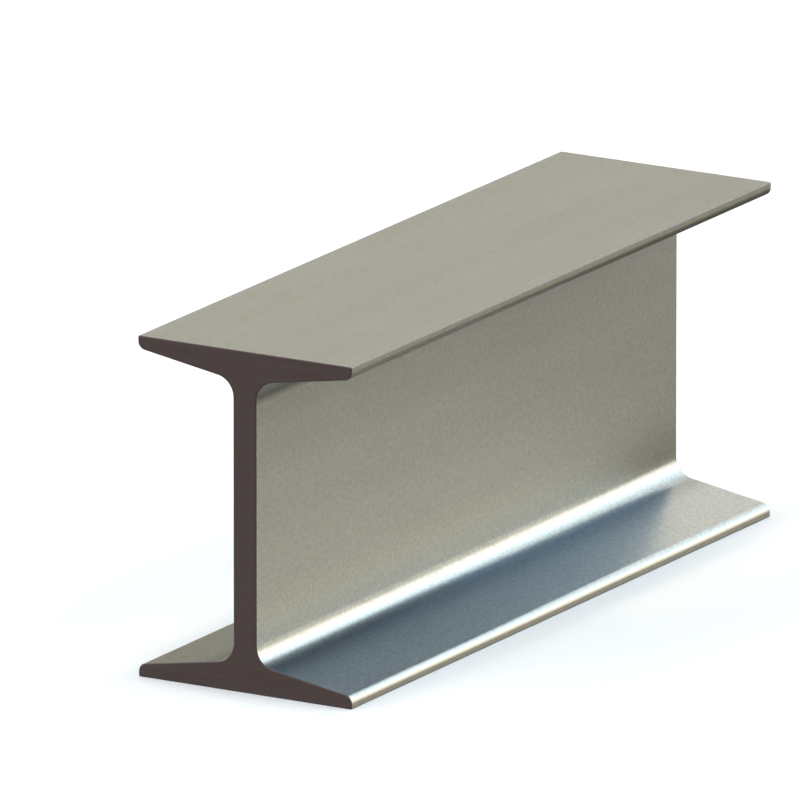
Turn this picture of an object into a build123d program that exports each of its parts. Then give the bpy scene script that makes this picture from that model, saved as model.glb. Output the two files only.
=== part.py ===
from build123d import *
import math
import os

# A cut length of 4 in structural aluminium beam with tapered flanges, standing on its
# bottom flange. It is one extruded piece: a web with a flange across its top and another
# across its bottom. Millimetres, with the flanges' width along X, the length along Y and
# the depth along Z, and the origin at the middle of the face that the beam stands on.

# Section, as a mill's table of shapes gives it
SECTION_DEPTH = 101.6
FLANGE_WIDTH = 71.1
WEB_THICKNESS = 7.7
FLANGE_TIP_THICKNESS = 3.75
FLANGE_TAPER = 1 / 6
ROOT_FILLET_RADIUS = 6.2
TOE_RADIUS = 2.5
OUTER_CORNER_RADIUS = 0.4

# Cut length, with the burr taken off the sawn ends
BEAM_LENGTH = 243.0
END_BREAK = 0.25

# Places on the section that follow from its sizes, measured from its middle. The flange
# thickens from its tip to the web by its taper, so its inner face slopes 1 in 6.
half_depth = SECTION_DEPTH / 2
half_width = FLANGE_WIDTH / 2
half_web = WEB_THICKNESS / 2
flange_root_thickness = FLANGE_TIP_THICKNESS + (half_width - half_web) * FLANGE_TAPER
toe_height = half_depth - FLANGE_TIP_THICKNESS
root_height = half_depth - flange_root_thickness

# Corners of one quarter of the section, before they are rounded
OUTER_CORNER = (half_width, half_depth)
TOE = (half_width, toe_height)
ROOT = (half_web, root_height)


def sharp_section():
    """The section before any rounding: one quarter's corners, mirrored down and across."""
    quarter = [OUTER_CORNER, TOE, ROOT]
    right_side = quarter + [(x, -y) for x, y in reversed(quarter)]
    left_side = [(-x, y) for x, y in reversed(right_side)]
    return Polygon(*right_side, *left_side)


def round_off(section, corner, radius):
    """Rounds a corner of the section and its mirror images."""
    same_place = [
        vertex
        for vertex in section.vertices()
        if math.isclose(abs(vertex.X), corner[0]) and math.isclose(abs(vertex.Y), corner[1])
    ]
    return fillet(same_place, radius)


def beam_section():
    """The section with its root fillets, rounded toes and slightly eased outer corners."""
    section = round_off(sharp_section(), ROOT, ROOT_FILLET_RADIUS)
    section = round_off(section, TOE, TOE_RADIUS)
    return round_off(section, OUTER_CORNER, OUTER_CORNER_RADIUS)


def beam():
    """The section run along the whole length and raised to stand on its bottom flange."""
    cross_section = Plane.XZ * beam_section()
    solid = Pos(0, 0, half_depth) * extrude(cross_section, BEAM_LENGTH / 2, both=True)
    sawn_ends = solid.faces().filter_by(Axis.Y)
    return chamfer(sawn_ends.edges(), END_BREAK)


os.makedirs("parts", exist_ok=True)
export_step(beam(), "parts/h_beam.step")
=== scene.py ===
import math

import bpy
from bpy.props import FloatProperty, FloatVectorProperty, PointerProperty
from bpy.types import Operator, Panel, PropertyGroup
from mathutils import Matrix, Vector


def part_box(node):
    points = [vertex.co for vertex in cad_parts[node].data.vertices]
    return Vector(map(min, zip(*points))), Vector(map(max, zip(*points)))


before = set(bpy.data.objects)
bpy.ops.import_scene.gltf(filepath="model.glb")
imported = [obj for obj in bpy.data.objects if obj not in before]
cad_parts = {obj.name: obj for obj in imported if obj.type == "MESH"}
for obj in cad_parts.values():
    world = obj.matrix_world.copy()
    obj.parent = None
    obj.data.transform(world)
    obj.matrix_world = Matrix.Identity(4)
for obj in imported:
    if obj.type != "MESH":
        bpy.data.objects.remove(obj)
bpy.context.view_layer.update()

bl_info = {
    "name": "Tapered-flange aluminium beam",
    "version": (1, 0, 0),
    "blender": (4, 5, 0),
    "location": "View3D > Sidebar > Beam",
    "description": "Gives a cut length of aluminium beam its mill finish and sets it in a plain studio",
    "category": "Object",
}

MM = 0.001
BEAM = "h_beam"

# The beam's outline, from the frame
BEAM_LOW, BEAM_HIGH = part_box(BEAM)
BEAM_WIDTH, BEAM_LENGTH, BEAM_DEPTH = BEAM_HIGH - BEAM_LOW

# How far the broken edges of a sawn end reach, as in the part's source
END_BREAK = 0.25 * MM

# Distances from a sawn end over which the cut's colour and the rubbed rim fade out
SAWN_EDGE = (0.9 * END_BREAK, 1.1 * END_BREAK)
RUBBED_RIM = (END_BREAK, 4 * END_BREAK)

# Distances from a flange's tip, or from tip and outer face together, over which they fade out
TIP = (0.4 * MM, 1.6 * MM)
ARRIS = (0.35 * MM, 1.0 * MM)

# Distances from the nearer outer face over which these zones begin
INNER_FACE = (2.6 * MM, 3.8 * MM)
UNDERSIDE = (2.0 * MM, 2.8 * MM)
WEB = (0.1 * BEAM_DEPTH, 0.17 * BEAM_DEPTH)

# Heights over which the web turns matt and the top flange begins
MATT_WEB = (0.12 * BEAM_DEPTH, 0.34 * BEAM_DEPTH)
TOP_FLANGE = (0.84 * BEAM_DEPTH, 0.87 * BEAM_DEPTH)

# Distances from the middle plane over which a flange's root begins and over which it ends
ROOT = ((5.0 * MM, 7.5 * MM), (10 * MM, 18 * MM))

# Length of the lines, and width and length of the slow bands, in spacings of the lines, and
# length of a saw mark in pitches of the marks
LINE_LENGTH = 160
BAND_WIDTH = 14
BAND_LENGTH = 1280
SAW_MARK_LENGTH = 45

# Size of the clouding across, along and up the beam
CLOUD_SIZES = (35 * MM, 60 * MM, 35 * MM)

# Grain at which a rim starts to look rubbed, and at which it is rubbed bright
RUBBED_GRAIN = (0.4, 0.6)

# Gaps that keep the floor and the card on it out of the plane of the beam's underside
FLOOR_GAP = 0.02 * MM
CARD_GAP = 0.01 * MM

# Size of the floor's faint patches and how dark they are
FLOOR_PATCH = 250 * MM
FLOOR_PATCH_TONE = 0.99

# The card on the floor: half its side, the distances from the beam's middle over which its
# light rises and falls to each side and ends along the beam, and its colour
FLOOR_CARD_HALF = 180 * MM
FLOOR_CARD_BESIDE = ((38 * MM, 50 * MM), (50 * MM, 90 * MM))
FLOOR_CARD_END = (115 * MM, 175 * MM)
FLOOR_CARD_COLOUR = (1.0, 0.97, 0.75)

# The upright cards: their distance from the beam's middle plane, where along it they start and
# end, their top, the distances over which their light rises and falls, and its colour
SIDE_CARD_OFFSET = 60 * MM
SIDE_CARD_START = 130 * MM
SIDE_CARD_END = 620 * MM
SIDE_CARD_TOP = 500 * MM
SIDE_CARD_ALONG = ((140 * MM, 240 * MM), (540 * MM, 600 * MM))
SIDE_CARD_UPRIGHT = ((130 * MM, 170 * MM), (420 * MM, 480 * MM))
SIDE_CARD_COLOUR = (0.35, 0.65, 1.0)

# Colours of the surround by height: 0 is straight down, 0.5 the horizon and 1 straight up
SURROUND_COLOURS = [
    (0.00, (0.07, 0.065, 0.06)),
    (0.24, (0.06, 0.055, 0.05)),
    (0.32, (0.06, 0.055, 0.05)),
    (0.355, (0.22, 0.205, 0.175)),
    (0.38, (0.22, 0.205, 0.175)),
    (0.42, (0.07, 0.065, 0.06)),
    (0.50, (0.05, 0.05, 0.045)),
    (0.57, (0.045, 0.045, 0.04)),
    (0.61, (0.172, 0.15, 0.105)),
    (0.66, (0.172, 0.15, 0.1)),
    (0.71, (0.5, 0.53, 0.55)),
    (0.80, (0.5, 0.52, 0.52)),
    (1.00, (0.5, 0.5, 0.5)),
]

# The same for what the metal mirrors twice: blue light below the horizon, paler light at it
# and deep blue above, which darkens the corner between the web and the bottom flange
TWICE_MIRRORED_COLOURS = [
    (0.00, (0.06, 0.06, 0.06)),
    (0.23, (0.06, 0.06, 0.06)),
    (0.31, (1.0, 1.7, 2.75)),
    (0.42, (1.0, 1.7, 2.75)),
    (0.50, (0.65, 0.7, 0.62)),
    (0.58, (0.5, 0.56, 0.58)),
    (0.63, (0.14, 0.24, 0.42)),
    (0.67, (0.055, 0.095, 0.18)),
    (1.00, (0.035, 0.06, 0.11)),
]

# A light panel's colours from the horizon upwards, cream at first and then bluish
PANEL_COLOURS = [
    (0.0, (1.0, 0.98, 0.9)),
    (0.3, (1.0, 1.0, 0.98)),
    (0.7, (0.88, 1.0, 1.05)),
    (1.0, (0.6, 0.83, 1.04)),
]

# Where a light panel begins, by how far a direction points towards it and upwards together,
# and the heights over which it ends and at which it reaches its last colour
PANEL_EDGE = (0.82, 1.06)
PANEL_TOP = (0.51, 0.61)
PANEL_LAST_COLOUR = 0.5

# Ray depths that are passed after two mirrorings and after three. A ray that ends in the
# surround counts that as one more, and one that meets a card doesn't.
SURROUND_TWICE = 2.5
SURROUND_THRICE = 3.5
CARD_TWICE = 1.5


class MillFinish(PropertyGroup):
    """The look of the rolled surfaces and of the sawn ends."""

    side_colour: FloatVectorProperty(
        name="Side colour",
        description="Colour of the web and the flanges as they left the mill",
        subtype="COLOR",
        min=0,
        max=1,
        default=(0.42, 0.41, 0.365),
    )
    # Painted shade: the sawn ends are far darker than the sides, partly their sawn finish and mostly
    # the shade on the ends painted in
    shaded_end_colour: FloatVectorProperty(
        name="Sawn end colour",
        description="Colour of the two sawn ends",
        subtype="COLOR",
        min=0,
        max=1,
        default=(0.1, 0.076, 0.074),
    )
    flange_roughness: FloatProperty(
        name="Flange roughness",
        description="How matt the flanges, the fillets and the web's foot are",
        subtype="FACTOR",
        min=0,
        max=1,
        default=0.3,
    )
    web_roughness: FloatProperty(
        name="Web roughness",
        description="How matt the web is above its foot",
        subtype="FACTOR",
        min=0,
        max=1,
        default=0.52,
    )
    end_roughness: FloatProperty(
        name="Sawn end roughness",
        description="How matt the sawn ends are",
        subtype="FACTOR",
        min=0,
        max=1,
        default=0.5,
    )
    grain_size: FloatProperty(
        name="Grain size",
        description="Width of the fine speckle over the rolled surfaces",
        unit="LENGTH",
        min=0.05 * MM,
        default=1.2 * MM,
    )
    line_spacing: FloatProperty(
        name="Die line spacing",
        description="Mean distance between the faint lines that run along the beam",
        unit="LENGTH",
        min=0.05 * MM,
        default=0.5 * MM,
    )
    saw_pitch: FloatProperty(
        name="Saw mark pitch",
        description="Distance between the blade's marks across a sawn end",
        unit="LENGTH",
        min=0.1 * MM,
        default=0.9 * MM,
    )
    relief: FloatProperty(
        name="Relief",
        description="Height of the grain, the lines and the saw marks",
        unit="LENGTH",
        min=0,
        default=0.013 * MM,
    )


class Studio(PropertyGroup):
    """The floor, the light round the beam and the camera."""

    floor_colour: FloatVectorProperty(
        name="Floor colour",
        description="Colour of the plain pale floor",
        subtype="COLOR",
        min=0,
        max=1,
        default=(0.76, 0.735, 0.715),
    )
    floor_size: FloatProperty(
        name="Floor size",
        description="Side of the square floor",
        unit="LENGTH",
        min=1,
        default=60,
    )
    surround_strength: FloatProperty(
        name="Surround strength",
        description="Brightness of the surround that the metal mirrors",
        min=0,
        default=3.0,
    )
    panel_strength: FloatProperty(
        name="Panel strength",
        description="Brightness of the two long light panels beside the beam",
        min=0,
        default=3.2,
    )
    panel_turn: FloatProperty(
        name="Panel turn",
        description="Turn of the two light panels round the beam",
        subtype="ANGLE",
        default=math.radians(40),
    )
    corner_strength: FloatProperty(
        name="Corner strength",
        description="Brightness of the surround where the metal mirrors it twice",
        min=0,
        default=4.1,
    )
    floor_card_strength: FloatProperty(
        name="Floor card strength",
        description="Brightness of the card that lies under the beam and shows beside it",
        min=0,
        default=1.85,
    )
    side_card_strength: FloatProperty(
        name="Side card strength",
        description="Brightness of the cards that stand past the beam's ends",
        min=0,
        default=4.6,
    )
    camera_azimuth: FloatProperty(
        name="Camera azimuth",
        description="Turn of the camera round the beam, from its near end towards its right side",
        subtype="ANGLE",
        default=math.radians(30.281),
    )
    camera_elevation: FloatProperty(
        name="Camera elevation",
        description="Angle of the camera above the floor",
        subtype="ANGLE",
        default=math.radians(15.078),
    )
    camera_lens: FloatProperty(
        name="Camera lens",
        description="Focal length in millimetres, long enough for edges to stay parallel",
        min=50,
        default=1350,
    )
    frame_width: FloatProperty(
        name="Frame width",
        description="Width of the picture at the beam's middle",
        unit="LENGTH",
        min=0.05,
        default=232.22 * MM,
    )
    aim_right: FloatProperty(
        name="Aim right",
        description="How far to the right of the beam's middle the camera aims",
        unit="LENGTH",
        default=-16.71 * MM,
    )
    aim_up: FloatProperty(
        name="Aim up",
        description="How far above the beam's middle the camera aims",
        unit="LENGTH",
        default=7.87 * MM,
    )


class Socket:
    """A shader node's output that is written into expressions, each operator being a Math node."""

    def __init__(self, shader, output):
        self.shader = shader
        self.output = output

    def math(self, operation, first, second=0.0):
        return self.shader.node("ShaderNodeMath", {"operation": operation}, {0: first, 1: second})

    def __add__(self, other):
        return self.math("ADD", self, other)

    def __sub__(self, other):
        return self.math("SUBTRACT", self, other)

    def __rsub__(self, other):
        return self.math("SUBTRACT", other, self)

    def __mul__(self, other):
        return self.math("MULTIPLY", self, other)

    def __abs__(self):
        return self.math("ABSOLUTE", self)

    def __gt__(self, other):
        return self.math("GREATER_THAN", self, other)

    def least(self, other):
        return self.math("MINIMUM", self, other)

    __radd__ = __add__
    __rmul__ = __mul__


class Shader:
    """A node tree that is emptied and filled again."""

    def __init__(self, tree):
        self.tree = tree
        tree.nodes.clear()

    def node(self, kind, settings=None, sockets=None, output=0):
        """Adds a node, with its settings first and then the values or links of its sockets."""
        made = self.tree.nodes.new(kind)
        for name, value in (settings or {}).items():
            if name == "stops":
                self.set_stops(made.color_ramp, value)
            else:
                setattr(made, name, value)
        for name, value in (sockets or {}).items():
            if isinstance(value, Socket):
                self.tree.links.new(value.output, made.inputs[name])
            else:
                made.inputs[name].default_value = value
        return Socket(self, made.outputs[output]) if made.outputs else None

    @staticmethod
    def set_stops(ramp, stops):
        while len(ramp.elements) < len(stops):
            ramp.elements.new(1.0)
        for element, (position, colour) in zip(ramp.elements, stops):
            element.position = position
            element.color = (*colour, 1.0)

    def axes(self, vector):
        """The three numbers of a vector."""
        split = self.node("ShaderNodeSeparateXYZ", {}, {"Vector": vector})
        return [Socket(self, output) for output in split.output.node.outputs]

    def ease(self, value, start, end):
        """0 where the value is at its start, 1 at its end and eased between."""
        sockets = {"Value": value, "From Min": start, "From Max": end}
        return self.node("ShaderNodeMapRange", {"interpolation_type": "SMOOTHSTEP"}, sockets)

    def band(self, value, rise, fall):
        """1 between a rise and a fall, each with its start and end, and 0 outside them."""
        return self.ease(value, *rise) * (1 - self.ease(value, *fall))

    def noise(self, place, sizes, detail=2.0, roughness=0.5):
        """Soft noise from 0 to 1, with its own size along each axis."""
        scales = tuple(1 / size for size in sizes)
        sockets = {0: place, 1: scales}
        stretched = self.node("ShaderNodeVectorMath", {"operation": "MULTIPLY"}, sockets)
        sockets = {"Vector": stretched, "Scale": 1.0, "Detail": detail, "Roughness": roughness}
        return self.node("ShaderNodeTexNoise", {}, sockets)

    def ramp(self, factor, stops):
        """The colour at one place of a ramp with these stops."""
        return self.node("ShaderNodeValToRGB", {"stops": stops}, {"Fac": factor})

    def toned(self, colour, tone):
        """The colour made lighter or darker."""
        return self.node("ShaderNodeVectorMath", {"operation": "SCALE"}, {0: colour, "Scale": tone})

    def blend(self, factor, first, second):
        """One colour going over into another, in a Mix node's sockets for colours."""
        sockets = {0: factor, 6: as_colour(first), 7: as_colour(second)}
        return self.node("ShaderNodeMix", {"data_type": "RGBA"}, sockets, 2)


def as_colour(value):
    """A link as it is, or three numbers as an opaque colour."""
    return value if isinstance(value, Socket) else (*value, 1.0)


def scaled(colour, factor):
    """A plain colour made lighter or darker."""
    return tuple(channel * factor for channel in colour)


def between(share, first, second):
    """A number that goes from the first to the second as the share goes from 0 to 1."""
    return first + (second - first) * share


def varied(middle, *patterns):
    """A number that swings about its middle by each pattern's share."""
    for pattern, share in patterns:
        middle = middle + (pattern - 0.5) * share
    return middle


def new_material(name):
    """A material and the shader that fills it."""
    material = bpy.data.materials.new(name)
    material.use_nodes = True
    return material, Shader(material.node_tree)


class Zones:
    """Masks over the beam, each 1 in its zone and 0 outside it."""

    def __init__(self, shader, place):
        x, y, z = shader.axes(place)
        from_middle = abs(x)
        from_tip = BEAM_WIDTH / 2 - from_middle
        from_end = BEAM_LENGTH / 2 - abs(y)
        from_face = z.least(BEAM_DEPTH - z)

        self.sawn = 1 - shader.ease(from_end, *SAWN_EDGE)
        self.rim = 1 - shader.ease(from_end, *RUBBED_RIM)
        self.tip = 1 - shader.ease(from_tip, *TIP)
        self.arris = 1 - shader.ease(from_tip + from_face, *ARRIS)
        self.inner = shader.ease(from_face, *INNER_FACE)
        self.root = self.inner * shader.band(from_middle, *ROOT)
        self.underside = shader.ease(z, *TOP_FLANGE) * shader.ease(from_face, *UNDERSIDE)
        self.web = shader.ease(from_face, *WEB)
        self.matt_web = self.web * shader.ease(z, *MATT_WEB)


class Patterns:
    """What varies over the metal: grain, lines along the beam, slow clouding and saw marks."""

    def __init__(self, shader, place, finish):
        grain_sizes = (finish.grain_size,) * 3
        line_sizes = (finish.line_spacing, LINE_LENGTH * finish.line_spacing, finish.line_spacing)
        band_width = BAND_WIDTH * finish.line_spacing
        band_sizes = (band_width, BAND_LENGTH * finish.line_spacing, band_width)
        mark_length = SAW_MARK_LENGTH * finish.saw_pitch
        mark_sizes = (mark_length, mark_length, finish.saw_pitch)

        self.grain = shader.noise(place, grain_sizes, 4.0, 0.7)
        self.lines = shader.noise(place, line_sizes, 3.0, 0.65)
        self.bands = shader.noise(place, band_sizes, 1.0)
        self.clouds = shader.noise(place, CLOUD_SIZES, 3.0)
        self.marks = shader.noise(place, mark_sizes, 2.0, 0.6)


def mill_aluminium(finish):
    """One material for the whole beam: rolled sides with grain and die lines, and sawn ends."""
    material, shader = new_material("mill_aluminium")
    place = shader.node("ShaderNodeTexCoord", {}, {}, "Object")
    zone = Zones(shader, place)
    pattern = Patterns(shader, place, finish)

    # The grain shows most on the flanges' inner faces and least on their outer ones. The arrises
    # and tips, the web, the roots and the top flange's underside are dimmed with painted shade,
    # and the rims beside the cuts are rubbed bright in spots.
    grain_share = 0.5 + zone.inner * 0.65 - zone.web * 0.45
    side_tone = varied(
        1.0,
        (pattern.grain, grain_share),
        (pattern.bands, 0.1),
        (pattern.clouds, 0.05),
        (pattern.lines, 0.08),
    )
    # Painted shade: a dark line painted along the arrises and the flange tips
    painted_edge_shade = zone.arris * 0.25 + zone.tip * 0.08
    # Painted shade: the web, the roots of the flanges and the top flange's underside are dimmed to
    # stand in for shade
    painted_shade = painted_edge_shade + zone.web * 0.26 + zone.root * 0.24 + zone.underside * 0.5
    rubbed = zone.rim * shader.ease(pattern.grain, *RUBBED_GRAIN) * 0.2
    side_colour = shader.toned(finish.side_colour, side_tone * (1 - painted_shade) + rubbed)
    end_tone = varied(1.0, (pattern.marks, 0.35), (pattern.grain, 0.2))
    # Painted shade: the sawn ends' colour holds the shade on the ends as well as their sawn finish
    shaded_end_colour = shader.toned(finish.shaded_end_colour, end_tone)
    colour = shader.blend(zone.sawn, side_colour, shaded_end_colour)

    # The web above its foot, the arrises and the top flange's underside are more matt
    web_change = finish.web_roughness - finish.flange_roughness
    more_matt = zone.matt_web * web_change + zone.arris * 0.4 + zone.underside * 0.25
    side_roughness = varied(
        more_matt + finish.flange_roughness,
        (pattern.grain, 0.08),
        (pattern.clouds, 0.03),
        (pattern.lines, 0.06),
    )
    end_roughness = varied(finish.end_roughness, (pattern.marks, 0.15))
    roughness = between(zone.sawn, side_roughness, end_roughness)

    side_height = pattern.grain * 0.7 + pattern.lines * 0.3
    end_height = pattern.marks * 1.2 + pattern.grain * 0.3
    height = between(zone.sawn, side_height, end_height)
    relief = {"Strength": 1.0, "Distance": finish.relief, "Height": height}
    bump = shader.node("ShaderNodeBump", {}, relief)

    looks = {"Base Color": colour, "Metallic": 1.0, "Roughness": roughness, "Normal": bump}
    metal = shader.node("ShaderNodeBsdfPrincipled", {}, looks)
    shader.node("ShaderNodeOutputMaterial", {}, {"Surface": metal})
    return material


def floor_paper(studio):
    """Plain pale matt paper with very faint patches."""
    material, shader = new_material("pale_floor")
    place = shader.node("ShaderNodeTexCoord", {}, {}, "Object")
    patches = shader.noise(place, (FLOOR_PATCH,) * 3)
    patch_colour = scaled(studio.floor_colour, FLOOR_PATCH_TONE)
    colour = shader.blend(patches, patch_colour, studio.floor_colour)
    paper = shader.node("ShaderNodeBsdfPrincipled", {}, {"Base Color": colour, "Roughness": 0.9})
    shader.node("ShaderNodeOutputMaterial", {}, {"Surface": paper})
    return material


def make_surround(studio):
    """The light round the beam, with colours by height and one long panel on each side."""
    world = bpy.data.worlds.new("studio_surround")
    world.use_nodes = True
    bpy.context.scene.world = world
    shader = Shader(world.node_tree)

    direction = shader.node("ShaderNodeTexCoord", {}, {}, "Generated")
    x, y, z = shader.axes(direction)
    height = z * 0.5 + 0.5
    surround = shader.toned(shader.ramp(height, SURROUND_COLOURS), studio.surround_strength)

    # The panels face each other across the beam, turned towards its ends, and widen upwards
    turn = studio.panel_turn
    sideways = abs(x * math.cos(turn) + y * math.sin(turn))
    panel = shader.ease(sideways + z, *PANEL_EDGE) * (1 - shader.ease(z, *PANEL_TOP))
    panel_colour = shader.ramp(z * (1 / PANEL_LAST_COLOUR), PANEL_COLOURS)
    panels = shader.toned(panel_colour, studio.panel_strength)
    once = shader.blend(panel, surround, panels)

    # What the metal mirrors twice has colours of its own, and what it mirrors more often is dark
    twice = shader.toned(shader.ramp(height, TWICE_MIRRORED_COLOURS), studio.corner_strength)
    depth = shader.node("ShaderNodeLightPath", {}, {}, "Ray Depth")
    light = shader.blend(depth > SURROUND_TWICE, once, twice)
    light = shader.blend(depth > SURROUND_THRICE, light, (0.0, 0.0, 0.0))

    # The camera sees a plain pale backdrop past the floor's edge
    camera_ray = shader.node("ShaderNodeLightPath", {}, {}, "Is Camera Ray")
    seen = shader.blend(camera_ray, light, (1.0, 1.0, 1.0))
    background = shader.node("ShaderNodeBackground", {}, {"Color": seen, "Strength": 1.0})
    shader.node("ShaderNodeOutputWorld", {}, {"Surface": background})


def flat_square(half):
    """The corners of a square that lies flat round the origin."""
    return [(-half, -half, 0), (half, -half, 0), (half, half, 0), (-half, half, 0)]


def make_sheet(name, corners, material, gap):
    """A thin sheet, or a few, each from four corners, with its foot a gap below the beam's."""
    mesh = bpy.data.meshes.new(name)
    sheets = [range(first, first + 4) for first in range(0, len(corners), 4)]
    mesh.from_pydata(corners, [], sheets)
    mesh.materials.append(material)
    sheet = bpy.data.objects.new(name, mesh)
    sheet.location.z = BEAM_LOW.z - gap
    bpy.context.scene.collection.objects.link(sheet)
    return sheet


def make_floor(studio):
    """A square of plain floor under the beam, which the metal doesn't mirror."""
    floor = make_sheet("floor", flat_square(studio.floor_size / 2), floor_paper(studio), FLOOR_GAP)
    floor.visible_glossy = False


def floor_card_share(shader, place):
    """A soft strip along each side of the beam."""
    x, y, _ = shader.axes(place)
    return shader.band(abs(x), *FLOOR_CARD_BESIDE) * (1 - shader.ease(abs(y), *FLOOR_CARD_END))


def side_card_share(shader, place):
    """A soft patch, lit for what the metal mirrors twice or more, as a flange by way of the web."""
    _, y, z = shader.axes(place)
    patch = shader.band(abs(y), *SIDE_CARD_ALONG) * shader.band(z, *SIDE_CARD_UPRIGHT)
    depth = shader.node("ShaderNodeLightPath", {}, {}, "Ray Depth")
    return patch * (depth > CARD_TWICE)


def make_card(name, corners, colour, share):
    """Soft light on a few sheets, which only metal mirrors and which hides nothing behind it."""
    material, shader = new_material(name)
    place = shader.node("ShaderNodeTexCoord", {}, {}, "Object")
    clear = shader.node("ShaderNodeBsdfTransparent")
    glow = shader.node("ShaderNodeEmission", {}, {"Color": as_colour(colour), "Strength": 1.0})
    lit = shader.node("ShaderNodeAddShader", {}, {0: clear, 1: glow})
    sockets = {0: share(shader, place), 1: clear, 2: lit}
    mixed = shader.node("ShaderNodeMixShader", {}, sockets)
    shader.node("ShaderNodeOutputMaterial", {}, {"Surface": mixed})

    card = make_sheet(name, corners, material, CARD_GAP)
    card.visible_camera = False
    card.visible_diffuse = False
    card.visible_shadow = False


def make_cards(studio):
    """One card on the floor, and an upright one past each end of the beam, beside its line."""
    colour = scaled(FLOOR_CARD_COLOUR, studio.floor_card_strength)
    make_card("floor_card", flat_square(FLOOR_CARD_HALF), colour, floor_card_share)

    right = [
        (SIDE_CARD_OFFSET, SIDE_CARD_START, 0),
        (SIDE_CARD_OFFSET, SIDE_CARD_END, 0),
        (SIDE_CARD_OFFSET, SIDE_CARD_END, SIDE_CARD_TOP),
        (SIDE_CARD_OFFSET, SIDE_CARD_START, SIDE_CARD_TOP),
    ]
    left = [(-x, -y, z) for x, y, z in right]
    colour = scaled(SIDE_CARD_COLOUR, studio.side_card_strength)
    make_card("side_card", right + left, colour, side_card_share)


def make_camera(studio):
    """A camera with a very long lens, aimed beside the beam's middle as the photograph is framed."""
    azimuth, elevation = studio.camera_azimuth, studio.camera_elevation
    back = Vector(
        (
            math.sin(azimuth) * math.cos(elevation),
            -math.cos(azimuth) * math.cos(elevation),
            math.sin(elevation),
        )
    )
    right = Vector((math.cos(azimuth), math.sin(azimuth), 0))
    up = back.cross(right)
    middle = (BEAM_LOW + BEAM_HIGH) / 2
    aim = middle + right * studio.aim_right + up * studio.aim_up

    data = bpy.data.cameras.new("camera")
    data.sensor_width = 36.0
    data.lens = studio.camera_lens
    distance = studio.frame_width * data.lens / data.sensor_width
    data.clip_start = 0.1
    data.clip_end = 4 * distance
    camera = bpy.data.objects.new("camera", data)
    camera.location = aim + back * distance
    camera.rotation_mode = "QUATERNION"
    camera.rotation_quaternion = back.to_track_quat("Z", "Y")
    bpy.context.scene.collection.objects.link(camera)
    bpy.context.scene.camera = camera


class BEAM_OT_finish_beam(Operator):
    """Gives the beam its mill finish and its sawn ends"""

    bl_idname = "beam.finish_beam"
    bl_label = "Finish the beam"

    def execute(self, context):
        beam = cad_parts[BEAM]
        beam.data.materials.clear()
        beam.data.materials.append(mill_aluminium(context.scene.mill_finish))
        return {"FINISHED"}


class BEAM_OT_set_stage(Operator):
    """Makes the floor, the light cards, the surround and the camera"""

    bl_idname = "beam.set_stage"
    bl_label = "Set the stage"

    def execute(self, context):
        studio = context.scene.beam_studio
        make_floor(studio)
        make_cards(studio)
        make_surround(studio)
        make_camera(studio)
        context.scene.view_settings.view_transform = "Standard"
        return {"FINISHED"}


class BEAM_PT_panel(Panel):
    """The beam's finish and its studio"""

    bl_idname = "BEAM_PT_panel"
    bl_label = "Beam"
    bl_space_type = "VIEW_3D"
    bl_region_type = "UI"
    bl_category = "Beam"

    def draw(self, context):
        layout = self.layout
        for settings, operator in (
            (context.scene.mill_finish, BEAM_OT_finish_beam.bl_idname),
            (context.scene.beam_studio, BEAM_OT_set_stage.bl_idname),
        ):
            column = layout.column()
            for name in settings.__annotations__:
                column.prop(settings, name)
            column.operator(operator)


CLASSES = (MillFinish, Studio, BEAM_OT_finish_beam, BEAM_OT_set_stage, BEAM_PT_panel)


def register():
    for cls in CLASSES:
        bpy.utils.register_class(cls)
    bpy.types.Scene.mill_finish = PointerProperty(type=MillFinish)
    bpy.types.Scene.beam_studio = PointerProperty(type=Studio)


def unregister():
    del bpy.types.Scene.beam_studio
    del bpy.types.Scene.mill_finish
    for cls in reversed(CLASSES):
        bpy.utils.unregister_class(cls)


def main():
    """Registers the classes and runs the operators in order."""
    register()
    bpy.ops.beam.finish_beam()
    bpy.ops.beam.set_stage()


if __name__ == "__main__":
    main()
